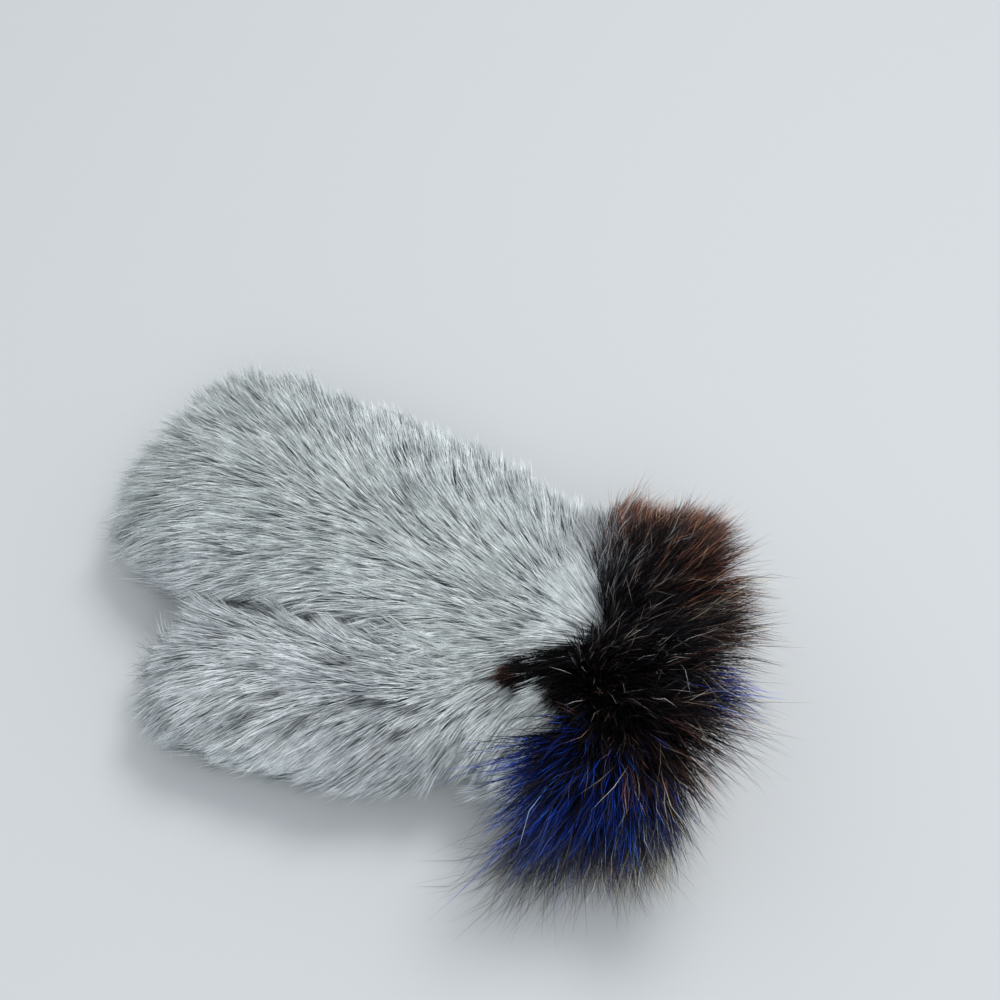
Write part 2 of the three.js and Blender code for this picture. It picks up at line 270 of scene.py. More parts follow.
def inside(bag, points, rise):
    """How deep points lie in a bag grown by rise: above 0 inside, below 0 outside."""
    away = points - bag.tip
    share = away @ bag.axis / bag.length
    held = np.clip(share, 0, 1)
    aside = away @ bag.across + bag.at("side", held) * bag.width
    above = away[..., 2] - bag.at("raise", held) * bag.height
    wide = bag.at("width", held) * bag.width / 2 + rise
    tall = bag.at("height", held) * bag.height / 2 + rise
    depth = 1 - (np.abs(aside / wide) ** FULLNESS + np.abs(above / tall) ** FULLNESS)
    return np.where((share * bag.length > -rise) & (share <= 1), depth, -1.0)


def on_floor(points, soft=2 * MM, free=8, steepest=30):
    """Points pressed onto the floor, with a soft bend above it. Points that lie free times as
    high as the bend stay where they are."""
    height = points[..., 2] - FLOOR_CLEARANCE
    pressed = soft * np.log1p(np.exp(np.clip(height / soft, -steepest, steepest)))
    points = points.copy()
    points[..., 2] = FLOOR_CLEARANCE + np.where(height > free * soft, height, pressed)
    return points


def mesh_object(name, points, faces, material):
    mesh = bpy.data.meshes.new(name)
    mesh.from_pydata(points, [], faces)
    mesh.update()
    made = bpy.data.objects.new(name, mesh)
    bpy.context.scene.collection.objects.link(made)
    mesh.materials.append(material)
    mesh.shade_smooth()
    return made


# Hair: each strand is a ribbon of a few joints that narrows to a point
TAPER_POWER = 2.2
TAPER = 0.75
CELL_ENDS = 0.1, 0.9
CELL_SIDES = 0.15, 0.85
CELL_MIDDLE = 0.5


def ribbons(name, paths, widths, facing, colours, material):
    """A mesh of strands. paths is strands x joints x 3, widths one for each strand, facing the
    way each ribbon's face looks and colours strands x joints x 3."""
    strands, joints, _ = paths.shape
    ways = unit(np.gradient(paths, axis=1))
    beside = unit(np.cross(ways, facing[:, None, :]))
    taper = np.linspace(0, 1, joints) ** TAPER_POWER
    half = widths[:, None, None] / 2 * (1 - TAPER * taper)[None, :, None]
    left, right = paths - beside * half, paths + beside * half
    body = np.stack([left[:, :-1], right[:, :-1]], 2).reshape(strands, -1, 3)
    points = np.concatenate([body, paths[:, -1:]], 1)
    per = points.shape[1]
    quads = np.array([[2 * k, 2 * k + 1, 2 * k + 3, 2 * k + 2] for k in range(joints - 2)])
    tip = np.array([[per - 3, per - 2, per - 1]])
    base = np.arange(strands)[:, None, None] * per
    quad_loops, tip_loops = ((part[None] + base).reshape(strands, -1) for part in (quads, tip))
    loops = np.concatenate([quad_loops, tip_loops], 1)
    sizes = np.tile([4] * len(quads) + [3], strands)
    mesh = bpy.data.meshes.new(name)
    mesh.vertices.add(strands * per)
    mesh.vertices.foreach_set("co", on_floor(points).astype(np.float32).ravel())
    mesh.loops.add(loops.size)
    mesh.loops.foreach_set("vertex_index", loops.astype(np.int32).ravel())
    mesh.polygons.add(len(sizes))
    starts = np.concatenate([[0], np.cumsum(sizes)[:-1]])
    mesh.polygons.foreach_set("loop_start", starts.astype(np.int32))
    shades = np.ones((strands, per, 4), np.float32)
    shades[:, :-1, :3] = np.repeat(colours[:, :-1], 2, axis=1)
    shades[:, -1, :3] = colours[:, -1]
    layer = mesh.color_attributes.new("fur", "FLOAT_COLOR", "POINT")
    layer.data.foreach_set("color", shades.ravel())
    # Each strand has a small cell of its own on the map, with its root at the bottom
    side = math.ceil(math.sqrt(strands))
    cell = np.stack([np.arange(strands) % side, np.arange(strands) // side], 1) / side
    run = np.linspace(*CELL_ENDS, joints)
    spots = np.stack([np.tile(CELL_SIDES, joints - 1), np.repeat(run[:-1], 2)], 1)
    spots = np.concatenate([spots, [[CELL_MIDDLE, run[-1]]]])
    places = (cell[:, None] + spots[None] / side).reshape(-1, 2)
    uv = mesh.uv_layers.new(name="OFBake", do_init=False)
    uv.uv.foreach_set("vector", places[loops.ravel()].astype(np.float32).ravel())
    mesh.update(calc_edges=True)
    mesh.materials.append(material)
    mesh.shade_smooth()
    made = bpy.data.objects.new(name, mesh)
    bpy.context.scene.collection.objects.link(made)
    return made


STRAND_LENGTHS = 0.68, 1.12
SWAY = 5
CLOSING_POWER = 1.3


def strands_from(rng, roots, out, first, last, length, per_lock, spread, narrow, joints, loose, wave):
    """Strands of locks. Each lock leaves its root along first and ends along last, and its
    strands stand within spread of its root and narrow to a share of that at the tip. loose is how
    far their ends turn apart, and wave how far they sway."""
    count = len(roots) * per_lock
    lock = np.repeat(np.arange(len(roots)), per_lock)
    side = unit(np.cross(out, last))[lock]
    third = np.cross(side, out[lock])
    turn, far = rng.uniform(0, 2 * math.pi, count), np.sqrt(rng.random(count)) * spread
    offset = (np.cos(turn) * far)[:, None] * side + (np.sin(turn) * far)[:, None] * third
    start, first, last = roots[lock], first[lock], last[lock]
    last = unit(last + loose * rng.normal(size=(count, 3)))
    length = length[lock] * rng.uniform(*STRAND_LENGTHS, count)
    t = np.linspace(0, 1, joints)[None, :, None]
    path = first[:, None] * t - (first - last)[:, None] * t**2 / 2
    sway = np.sin(t * SWAY + rng.uniform(0, 2 * math.pi, (count, 1, 1))) * t * wave
    path = path + sway * side[:, None]
    closing = 1 - (1 - narrow) * t**CLOSING_POWER
    return start[:, None] + path * length[:, None, None] + offset[:, None] * closing, lock


# Materials
FLECKS = {"From Min": 0.3, "From Max": 0.7, "To Min": 0.82, "To Max": 1.15}
SKIN_RAMP = 0.35, 0.7
SKIN_GLOSS = 0.2
SKIN_BUMP = 0.6


def fur_material(name, roughness, grain, gloss=0.35):
    """Fur: the colour comes from the strands, with fine uneven dye along them."""
    material = bpy.data.materials.new(name)
    material.use_nodes = True
    nodes, links = material.node_tree.nodes, material.node_tree.links
    shader = nodes["Principled BSDF"]
    shader.inputs["Roughness"].default_value = roughness
    shader.inputs["Specular IOR Level"].default_value = gloss
    colour = nodes.new("ShaderNodeVertexColor")
    colour.layer_name = "fur"
    place = nodes.new("ShaderNodeTexCoord")
    noise = nodes.new("ShaderNodeTexNoise")
    noise.inputs["Scale"].default_value = grain
    noise.inputs["Detail"].default_value = 3
    spread = nodes.new("ShaderNodeMapRange")
    for socket, value in FLECKS.items():
        spread.inputs[socket].default_value = value
    mixed = nodes.new("ShaderNodeMix")
    mixed.data_type = "RGBA"
    mixed.blend_type = "MULTIPLY"
    mixed.inputs["Factor"].default_value = 1
    links.new(place.outputs["Object"], noise.inputs["Vector"])
    links.new(noise.outputs["Fac"], spread.inputs["Value"])
    links.new(colour.outputs["Color"], mixed.inputs["A"])
    links.new(spread.outputs["Result"], mixed.inputs["B"])
    links.new(mixed.outputs["Result"], shader.inputs["Base Color"])
    return material


def skin_material(name, deep, light, size, roughness=0.9):
    """Underfur or suede: two tones in fine flecks, with a matching bump."""
    material = bpy.data.materials.new(name)
    material.use_nodes = True
    nodes, links = material.node_tree.nodes, material.node_tree.links
    shader = nodes["Principled BSDF"]
    shader.inputs["Roughness"].default_value = roughness
    shader.inputs["Specular IOR Level"].default_value = SKIN_GLOSS
    place = nodes.new("ShaderNodeTexCoord")
    noise = nodes.new("ShaderNodeTexNoise")
    noise.inputs["Scale"].default_value = 1 / size
    noise.inputs["Detail"].default_value = 6
    tones = nodes.new("ShaderNodeValToRGB")
    for element, position, tone in zip(tones.color_ramp.elements, SKIN_RAMP, (deep, light)):
        element.position = position
        element.color = (*tone, 1)
    bump = nodes.new("ShaderNodeBump")
    bump.inputs["Strength"].default_value = SKIN_BUMP
    bump.inputs["Distance"].default_value = size / 2
    links.new(place.outputs["Object"], noise.inputs["Vector"])
    links.new(noise.outputs["Fac"], tones.inputs["Fac"])
    links.new(noise.outputs["Fac"], bump.inputs["Height"])
    links.new(tones.outputs["Color"], shader.inputs["Base Color"])
    links.new(bump.outputs["Normal"], shader.inputs["Normal"])
    return material


silver_skin = skin_material("silver_underfur", srgb(128, 134, 144), srgb(172, 179, 188), 0.8 * MM)
cuff_skin = skin_material("cuff_underfur", srgb(10, 9, 12), srgb(26, 22, 28), 0.8 * MM)
suede = skin_material("inner_suede", srgb(120, 118, 120), srgb(150, 148, 149), 0.5 * MM)
silver_fur = fur_material("silver_fur", 0.55, 260)
dyed_fur = fur_material("dyed_fur", 0.36, 180, 0.27)
black_fur = fur_material("black_fur", 0.55, 180, 0.12)


# Skins: closed shells of underfur outside and plain suede inside
HAND_SIDES = 72
THUMB_SIDES = 56
BODY_ROWS = 70
CUFF_SIDES = 72
CUFF_ROWS = 30
CUTTER_SIDES = 48
CUTTER_ROWS = 40
UNDERFUR = 4.5 * MM
CUFF_UNDERFUR = 6 * MM
RIM_START = 0.8
RIM_THINNING = 0.75


def shell(name, bag, outer, shares, sides, material):
    """A closed skin of a bag, with its outside at the rise that outer gives."""
    rings_out = bag.grid(shares, sides, outer)
    rings_in = bag.grid(shares, sides, lambda share, angle: np.full_like(share, -LEATHER))
    points = np.concatenate([on_floor(rings_out).reshape(-1, 3), rings_in.reshape(-1, 3)])
    rows, inner = len(shares), len(shares) * sides
    faces = []
    for k in range(sides):
        after = (k + 1) % sides
        for row in range(rows - 1):
            a, b = row * sides + k, row * sides + after
            faces.append((a, b, b + sides, a + sides))
            faces.append((inner + a, inner + a + sides, inner + b + sides, inner + b))
        last = (rows - 1) * sides
        faces.append((last + k, last + after, inner + last + after, inner + last + k))
        if shares[0] >= 0:
            faces.append((k, inner + k, inner + after, after))
    if shares[0] < 0:
        faces.append(tuple(range(sides))[::-1])
        faces.append(tuple(inner + k for k in range(sides)))
    made = mesh_object(name, points, faces, material)
    made.data.materials.append(suede)
    for face in made.data.polygons:
        face.material_index = int(min(face.vertices) >= inner)
    return made


def cut_away(piece, bag, rise, first, last):
    """Cuts the space of another bag, grown by rise, out of a piece."""
    sides = CUTTER_SIDES
    shares = np.linspace(first, last, CUTTER_ROWS)
    rings = bag.grid(shares, sides, lambda share, angle: np.full_like(share, rise))
    faces = []
    for row in range(len(shares) - 1):
        here, above = row * sides, (row + 1) * sides
        for k in range(sides):
            after = (k + 1) % sides
            faces.append((here + k, here + after, above + after, above + k))
    last_row = (len(shares) - 1) * sides
    faces += [tuple(range(sides))[::-1], tuple(last_row + k for k in range(sides))]
    tool = mesh_object("cutter", rings.reshape(-1, 3), faces, suede)
    change = piece.modifiers.new("cut", "BOOLEAN")
    change.operation = "DIFFERENCE"
    change.solver = "EXACT"
    change.object = tool
    bpy.context.view_layer.update()
    solid = piece.evaluated_get(bpy.context.evaluated_depsgraph_get())
    cut = bpy.data.meshes.new_from_object(solid)
    piece.modifiers.clear()
    piece.data = cut
    bpy.data.objects.remove(tool)


def finish_piece(piece, node):
    """Puts a piece on the mitten's one body, in the place of one of its solids."""
    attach(piece, "root")
    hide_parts(node)


def underfur(share, angle):
    return np.full_like(share, UNDERFUR)


end_shares = -Bag.CAP * np.cos(np.linspace(0.05, math.pi / 2, 8))
body_shares = np.concatenate([end_shares, np.linspace(0.01, 1, BODY_ROWS)])
hand_skin = shell("hand_skin", hand, underfur, body_shares, HAND_SIDES, silver_skin)
cut_away(hand_skin, thumb, -LEATHER, first=0.1, last=0.98)
finish_piece(hand_skin, "hand_pelt")
thumb_skin = shell("thumb_skin", thumb, underfur, body_shares, THUMB_SIDES, silver_skin)
cut_away(thumb_skin, hand, UNDERFUR + SEAM_GAP, first=0.02, last=1)
finish_piece(thumb_skin, "thumb_pelt")


# Short fur. It flows away from a whorl on the cuff, and falls to both sides of the hand
flow_waves = Waves(3, 34 * MM), Waves(4, 11 * MM)
lift_waves = Waves(5, 16 * MM), Waves(6, 7 * MM)
tint_waves = Waves(8, 55 * MM), Waves(9, 22 * MM), Waves(10, 5 * MM)
SILVER_LENGTH = 18 * MM
SILVER_JOINTS = 4
SILVER_WIDTHS = 0.28, 0.46
SILVER_SPREAD = 1.1 * MM
SILVER_NARROW = 0.35
SILVER_LOOSE = 0.07
SILVER_WAVE = 0.03
ROOT_DEPTH = 0.6 * MM
SWIRL_WIDE = 0.15
SWIRL_FINE = 0.1
SWIRL_LOOSE = 0.12
FIRST_LIFT = 36
LIFT = 9
LIFT_WAVES = 4
LIFT_LOOSE = 5
WHORL_ANGLE = math.radians(94)
WHORL_SHARE = 0.3
WHORL_PALE = 0.5
WHORL_REACH = 45 * MM
WHORL = cuff.off(np.array(WHORL_SHARE), np.array(WHORL_ANGLE), UNDERFUR)
PALE = srgb(244, 250, 251)
MIDDLE = srgb(181, 189, 191)
DEEP = srgb(62, 68, 76)
LAVENDER = srgb(198, 202, 210)
MOSS = srgb(204, 212, 206)
BLACK = srgb(7, 7, 10)
RUST = srgb(132, 84, 72)
MIDDLE_TONE = 0.5
TONE_WAVES = 0.1
LOCK_TONES = 0.3
STRAND_TONES = 0.4
LEAST_TONE = -0.8
MOST_TONE = 1.2
BLUER, MOST_BLUE = 0.14, 0.2
GREENER, MOST_GREEN = 0.2, 0.25
PALE_FROM = 0.1
PALE_RISE = 1.5
LENGTH_WAVES = 0.1
LONGER_SHARE = 0.35
FACING_LOOSE = 0.5

# Where silver fur runs over the seam onto the cuff: angles and half angles round it, in degrees,
# and shares of its length
SEAM_WEDGE_ANGLE = 86
SEAM_WEDGE_HALF = 12
SEAM_LOW_ANGLE = 126
SEAM_LOW_HALF = 14
SEAM_LOW_SHARE = 0.1
SEAM_THIN_ANGLE = 170
SEAM_THIN_HALF = 45
SEAM_THIN_SHARE = 0.05
SEAM_LEAN = 0.6
SEAM_BLEND = 0.6
SEAM_BLEND_ANGLE = 25
SEAM_BLEND_SHARE = 0.3
SEAM_BLEND_RAGGED = 0.6

# Painted shade: the fur's colour is darkened towards the far side, at the seam, and at the tips of the
# bags
FAR_SIDE_ANGLE = 84
FAR_SIDE_BLEND = 20
FAR_SIDE_PAINTED_SHADE = 0.5
FAR_SIDE_SHARE = 0.88
CUFF_PAINTED_SHADE_ANGLES = 60, 80
TIP_PAINTED_SHADE = 0.86
TIP_SHARE = 0.25

# A streak of black fur lies over the silver fur from the whorl towards the thumb
STREAK_HEADING = math.radians(203)
STREAK_ANGLE = math.radians(105)
STREAK_START = cuff.off(np.array(WHORL_SHARE), np.array(STREAK_ANGLE), UNDERFUR)
STREAK_WAY = np.array((math.cos(STREAK_HEADING), math.sin(STREAK_HEADING), 0))
STREAK_LENGTH = 30 * MM
STREAK_HALF = 9 * MM
STREAK_HAIR = 20 * MM
STREAK_RAGGED = 0.3
STREAK_LOOSE = 0.2
STREAK_RUST_FROM = 0.65
STREAK_RUST = 1.2
STREAK_SHINE = 0.4
STREAK_ROOT_SHADE = 0.3
STREAK_TIP_FROM = 0.7
STREAK_TIP_RISE = 3

# Dents in the thumb's fur, and the crease between it and the hand, by their place on the thumb: the fur
# is shorter there, and its colour is darkened as painted shade
DENTS = (
    # share, angle, reach along the fur and across it in mm
    (0.5, 90, 7, 3.0),
    (0.58, 120, 7, 3.0),
    (0.28, 146, 7, 4.0),
    (0.34, 123, 6, 2.4),
    (0.44, 140, 6, 2.6),
    (0.54, 62, 8, 2.0),
    (0.79, 87, 6, 2.5),
    (0.71, 144, 6, 2.5),
    (0.13, 38, 9, 4.0),
    (0.24, 52, 9, 4.0),
    (0.36, 50, 9, 3.5),
    (0.49, 45, 8, 2.5),
    (0.62, 45, 8, 1.8),
)
DENT_NARROWING = 0.72
DENT_REACH = 3 * PILE
DENT_ALONG = 0.3
DENT_LENGTH = 0.4
# Painted shade in the dents and the crease: the fur's colour is darkened to this share
DENT_PAINTED_SHADE = 0.36


def dented(places, way, out):
    """How much of a dent there is at each place, from 0 to 1."""
    most = np.zeros(len(places))
    for share, angle, along_reach, across_reach in DENTS:
        away = places - thumb.off(np.array(share), np.array(math.radians(angle)), PILE)
        along = (away * way).sum(-1)
        aside = (away * np.cross(way, out)).sum(-1)
        across = DENT_NARROWING * across_reach * MM
        here = np.exp(-((along / (along_reach * MM)) ** 2) - (aside / across) ** 2)
        near = np.linalg.norm(away, axis=-1) < DENT_REACH
        most = np.maximum(most, here * near)
    return most


def in_streak(places):
    """Which places the streak covers: it narrows to its far end, and its edges are ragged."""
    away = places - STREAK_START
    along = away @ STREAK_WAY
    aside = np.abs(away @ np.array((-STREAK_WAY[1], STREAK_WAY[0], 0)))
    ragged = 1 + STREAK_RAGGED * lift_waves[1](places)
    wide = STREAK_HALF * (1.05 - np.clip(along / STREAK_LENGTH, 0, 1)) * ragged
    above = places[..., 2] > hand.tip[2]
    return (along > 0) & (along < STREAK_LENGTH) & (aside < wide) & above


def silver_colours(rng, roots, lock, joints, painted_shade):
    """Colour along each strand: deep at the root, pale at the tip, in uneven tones, darkened by painted
    shade.
    """
    tone = MIDDLE_TONE + TONE_WAVES * tint_waves[1](roots) + TONE_WAVES * tint_waves[2](roots)
    tone = tone + rng.normal(0, LOCK_TONES, len(roots))
    tone = tone + WHORL_PALE * np.exp(-np.linalg.norm(roots - WHORL, axis=-1) / WHORL_REACH)
    tone = tone[lock] + rng.normal(0, STRAND_TONES, len(lock))
    tone = np.clip(tone, LEAST_TONE, MOST_TONE)[:, None]
    tip = MIDDLE + (PALE - MIDDLE) * tone
    drift = tint_waves[0](roots)[lock][:, None]
    bluer = np.clip(BLUER * drift, 0, MOST_BLUE)
    greener = np.clip(-GREENER * drift, 0, MOST_GREEN)
    tip = tip + (LAVENDER - tip) * bluer + (MOSS - tip) * greener
    t = np.linspace(0, 1, joints)[None, :, None]
    rise = np.clip((t - PALE_FROM) * PALE_RISE, 0, 1)
    return (DEEP + (tip[:, None] - DEEP) * rise) * painted_shade[lock][:, None, None]


def streak_colours(rng, roots, lock, joints):
    """Black fur, with rust tips at the streak's far end."""
    along = (roots - STREAK_START) @ STREAK_WAY / STREAK_LENGTH
    rust_share = STREAK_RUST * np.clip(along[lock] - STREAK_RUST_FROM, 0, 1 - STREAK_RUST_FROM)
    rusty = (rng.random(len(lock)) < rust_share)[:, None]
    tip = np.where(rusty, RUST, BLACK)
    t = np.linspace(0, 1, joints)[None, :, None]
    shine = np.exp(rng.normal(0, STREAK_SHINE, len(lock)))[:, None, None]
    rise = np.clip((t - STREAK_TIP_FROM) * STREAK_TIP_RISE, 0, 1)
    return (STREAK_ROOT_SHADE * BLACK + (tip - BLACK)[:, None] * rise) * shine


def silver_painted_shade(bag, share, angle, dent):
    """Painted shade at each place, as a factor on the fur's colour: in dents, at the bags' tips and
    towards the far side.
    """
    # Painted shade in the dents and the crease
    painted_shade = 1 - (1 - DENT_PAINTED_SHADE) * dent
    # Painted shade: silver fur on the cuff is darker towards the far side
    if bag is cuff:
        painted_shade = painted_shade * np.interp(np.degrees(angle), CUFF_PAINTED_SHADE_ANGLES, (FAR_SIDE_PAINTED_SHADE, 1))
    else:
        # Painted shade at the bag's tip, where it turns from the light
        painted_shade = painted_shade * np.interp(share, (0, TIP_SHARE), (TIP_PAINTED_SHADE, 1))
    # Painted shade: darker towards the far side near the seam
    if bag is hand:
        far = np.clip((FAR_SIDE_ANGLE - np.degrees(angle)) / FAR_SIDE_BLEND, 0, 1)
        far = far * (np.cos(angle) > 0)
        near_seam = np.clip((share - FAR_SIDE_SHARE) / (1 - FAR_SIDE_SHARE), 0, 1)
        painted_shade = painted_shade * (1 - (1 - FAR_SIDE_PAINTED_SHADE) * far * near_seam)
    return painted_shade


def silver_hair(
    name, bag, node, seed, locks, per_lock, choose, length=SILVER_LENGTH, fall=0.8, tip=1.3, black=False
):
    """Short fur on a bag. tip is how much longer it is at the bag's tip, and black fur is the
    streak's."""
    rng = np.random.default_rng(seed)
    share, angle = bag.scattered(rng, locks, PILE, choose)
    roots = bag.off(share, angle, UNDERFUR - ROOT_DEPTH)
    out = bag.normal(share, angle)
    away = unit(roots - WHORL)
    swirl = SWIRL_WIDE * flow_waves[0](roots) + SWIRL_FINE * flow_waves[1](roots)
    swirl = swirl + rng.normal(0, SWIRL_LOOSE, locks)
    way = away + (fall * np.cos(angle) + swirl)[:, None] * bag.across
    if bag is cuff:
        way = way - SEAM_LEAN * cuff.axis
    way = unit(way - (way * out).sum(-1, keepdims=True) * out)
    lift = LIFT + LIFT_WAVES * lift_waves[0](roots) + LIFT_WAVES * lift_waves[1](roots)
    up = np.radians(lift + rng.normal(0, LIFT_LOOSE, locks))[:, None]
    start = math.radians(FIRST_LIFT)
    first = unit(way * math.cos(start) + out * math.sin(start))
    last = unit(way * np.cos(up) + out * np.sin(up))
    lengths = length * (1 + LENGTH_WAVES * lift_waves[1](roots))
    lengths = lengths * np.interp(share, (0, LONGER_SHARE), (tip, 1))
    dent = dented(roots + (first + last) * lengths[:, None] * DENT_ALONG, way, out)
    lengths = lengths * (1 - (1 - DENT_LENGTH) * dent)
    loose = STREAK_LOOSE if black else SILVER_LOOSE
    paths, lock = strands_from(
        rng,
        roots,
        out,
        first,
        last,
        lengths,
        per_lock,
        SILVER_SPREAD,
        SILVER_NARROW,
        SILVER_JOINTS,
        loose,
        SILVER_WAVE,
    )
    facing = unit(out[lock] + FACING_LOOSE * rng.normal(size=(len(lock), 3)))
    widths = rng.uniform(*SILVER_WIDTHS, len(lock)) * MM
    if black:
        colours = streak_colours(rng, roots, lock, SILVER_JOINTS)
    else:
        painted_shade = silver_painted_shade(bag, share, angle, dent)
        colours = silver_colours(rng, roots, lock, SILVER_JOINTS, painted_shade)
    piece = ribbons(name, paths, widths, facing, colours, black_fur if black else silver_fur)
    finish_piece(piece, node)


# Where each piece of fur grows, as weights of places
FLOOR_HEIGHT = 3 * MM
FLOOR_WEIGHT = 0.2
BURIED = 1 * MM
BACK_SINE = 0.35


def seen_more(places, share, angle):
    """Thins the fur where the mitten lies on the floor."""
    return np.where(places[..., 2] < FLOOR_HEIGHT, FLOOR_WEIGHT, 1.0)


def back_of_hand(places, share, angle):
    buried = (inside(thumb, places, BURIED) > 0) | in_streak(places)
    return np.where(buried | (np.sin(angle) < BACK_SINE), 0, 1.0)


def sides_of_hand(places, share, angle):
    buried = inside(thumb, places, BURIED) > 0
    return np.where(buried | (np.sin(angle) >= BACK_SINE), 0, seen_more(places, share, angle))


def up_to_whorl(places, share, angle):
    """Silver fur that runs over the cuff's seam: a wedge to the whorl, a low band and a thin one,
    and some hair among the black fur on the far side."""
    turn = np.degrees(angle)
    whorl_turn = math.degrees(WHORL_ANGLE)
    middle = SEAM_WEDGE_ANGLE + (whorl_turn - SEAM_WEDGE_ANGLE) * share / WHORL_SHARE
    wedge = np.abs(turn - middle) < SEAM_WEDGE_HALF * (1 - share / WHORL_SHARE)
    low = (np.abs(turn - SEAM_LOW_ANGLE) < SEAM_LOW_HALF) & (share < SEAM_LOW_SHARE)
    thin = (np.abs(turn - SEAM_THIN_ANGLE) < SEAM_THIN_HALF) & (share < SEAM_THIN_SHARE)
    silver = wedge | low | thin | (share < 0)
    edge = SEAM_BLEND_SHARE * (1 + SEAM_BLEND_RAGGED * lift_waves[1](places))
    blend = (turn > SEAM_BLEND_ANGLE) & (turn < SEAM_WEDGE_ANGLE) & (share < edge)
    return np.where(in_streak(places), 0, np.where(silver, 1.0, SEAM_BLEND * blend))


def streak_place(places, share, angle):
    return np.where(in_streak(places), 1.0, 0)


def round_thumb(places, share, angle):
    return np.where(inside(hand, places, BURIED) > 0, 0, seen_more(places, share, angle))


silver_hair("hand_fur_back", hand, "hand_pelt", 11, 9200, 4, back_of_hand)
silver_hair("hand_fur_sides", hand, "hand_pelt", 12, 7000, 4, sides_of_hand)
silver_hair("thumb_fur", thumb, "thumb_pelt", 13, 8200, 4, round_thumb, tip=1.15)
silver_hair("seam_fur", cuff, "fur_cuff", 14, 2000, 5, up_to_whorl)
silver_hair("streak_fur", hand, "hand_pelt", 15, 420, 5, streak_place, length=STREAK_HAIR, black=True)
silver_hair("streak_root_fur", cuff, "fur_cuff", 16, 260, 5, streak_place, length=STREAK_HAIR, black=True)

# Long fur of the cuff: where each dye patch lies, by angle round the cuff and share along it, how
# far it reaches each way, how many of its strands are dyed, and the colours of their middle and tip
DYES = (
    # angle, reach, share, reach, dyed, pale guard hairs, middle, tip, guard hair's tip
    (28, 30, 0.4, 0.6, 0.64, 0.6, (22, 15, 13), (142, 88, 68), (206, 152, 124)),
    (62, 26, 0.95, 0.35, 0.56, 0.6, (22, 15, 13), (132, 82, 64), (206, 152, 124)),
    (62, 32, 0.0, 0.16, 0.8, 0.5, (60, 62, 68), (150, 154, 160), (180, 184, 188)),
    (90, 12, 1.0, 0.2, 0.4, 0.8, (24, 18, 17), (124, 90, 76), (206, 200, 172)),
    (75, 30, 0.45, 0.35, 0.03, 0.2, (10, 9, 12), (70, 54, 50), (206, 186, 172)),
    (105, 18, 0.5, 0.5, 0.03, 0.35, (10, 9, 12), (70, 54, 50), (214, 198, 184)),
    (130, 20, 0.35, 0.35, 0.04, 0.1, (10, 8, 9), (80, 58, 54), (176, 136, 116)),
    (114, 6, 1.0, 0.12, 0.95, 0.5, (20, 36, 130), (64, 92, 236), (60, 84, 210)),
    (122, 10, 0.95, 0.2, 0.15, 0.3, (16, 13, 14), (104, 72, 64), (206, 196, 172)),
    (142, 12, 0.85, 0.25, 0.35, 0.3, (22, 16, 17), (120, 84, 74), (206, 204, 180)),
    (150, 14, 0.08, 0.2, 0.5, 0.08, (6, 13, 48), (26, 68, 184), (90, 104, 150)),
    (166, 22, 0.35, 0.5, 0.5, 0.1, (6, 14, 56), (28, 76, 206), (110, 124, 150)),
    (182, 4, 0.85, 0.3, 0.8, 0.4, (20, 16, 20), (132, 84, 72), (196, 150, 128)),
    (172, 16, 0.98, 0.2, 0.4, 0.8, (10, 14, 34), (60, 66, 84), (210, 210, 190)),
    (202, 16, 0.4, 0.7, 0.4, 0.9, (12, 15, 28), (84, 90, 88), (204, 206, 184)),
    (245, 36, 0.5, 0.8, 0.5, 0.8, (26, 32, 34), (104, 112, 104), (180, 186, 172)),
    (320, 36, 0.5, 0.8, 0.5, 0.8, (20, 22, 26), (128, 134, 138), (190, 194, 196)),
)
DARK_TIP = srgb(26, 24, 28)
DYE_MIXING = 0.7
TUFT_MIXING = 0.12
DYE_START = 0.55
GUARD_DYE_START = 0.5
DYE_RUN = 0.4
DYE_UNEVEN = 0.12
LOCK_SHINE = 0.6
STRAND_SHINE = 0.4
BRIGHTEST = 0.9


def dye_colours(rng, share, angle, lock, joints, guard):
    """Colour along each strand: black at the root, then its patch's dye from part way up. Guard
    hairs are paler from there on."""
    spots = np.array([row[:6] for row in DYES])
    first = 7 if guard else 6
    dyes = np.array([[srgb(*row[first]), srgb(*row[first + 1])] for row in DYES])
    turn = (np.degrees(angle)[:, None] - spots[:, 0] + 180) % 360 - 180
    apart = (turn / spots[:, 1]) ** 2 + ((share[:, None] - spots[:, 2]) / spots[:, 3]) ** 2
    chosen = np.argmin(apart[lock] - DYE_MIXING * rng.gumbel(size=(len(lock), len(spots))), 1)
    tufts = rng.random(lock[-1] + 1)[lock] + rng.normal(0, TUFT_MIXING, len(lock))
    dyed = (tufts < spots[chosen, 5 if guard else 4])[:, None]
    middle = np.where(dyed, dyes[chosen, 0], BLACK)[:, None]
    tip = np.where(dyed, dyes[chosen, 1], DARK_TIP)[:, None]
    t = np.linspace(0, 1, joints)[None, :, None]
    t = t + rng.uniform(-DYE_UNEVEN, DYE_UNEVEN, (len(lock), 1, 1))
    begin = GUARD_DYE_START if guard else DYE_START
    low, high = np.clip(t / begin, 0, 1), np.clip((t - begin) / DYE_RUN, 0, 1)
    colours = BLACK + (middle - BLACK) * low + (tip - middle) * high
    shine = rng.normal(0, LOCK_SHINE, lock[-1] + 1)[lock] + rng.normal(0, STRAND_SHINE, len(lock))
    return np.clip(colours * np.exp(shine)[:, None, None], 0, BRIGHTEST)


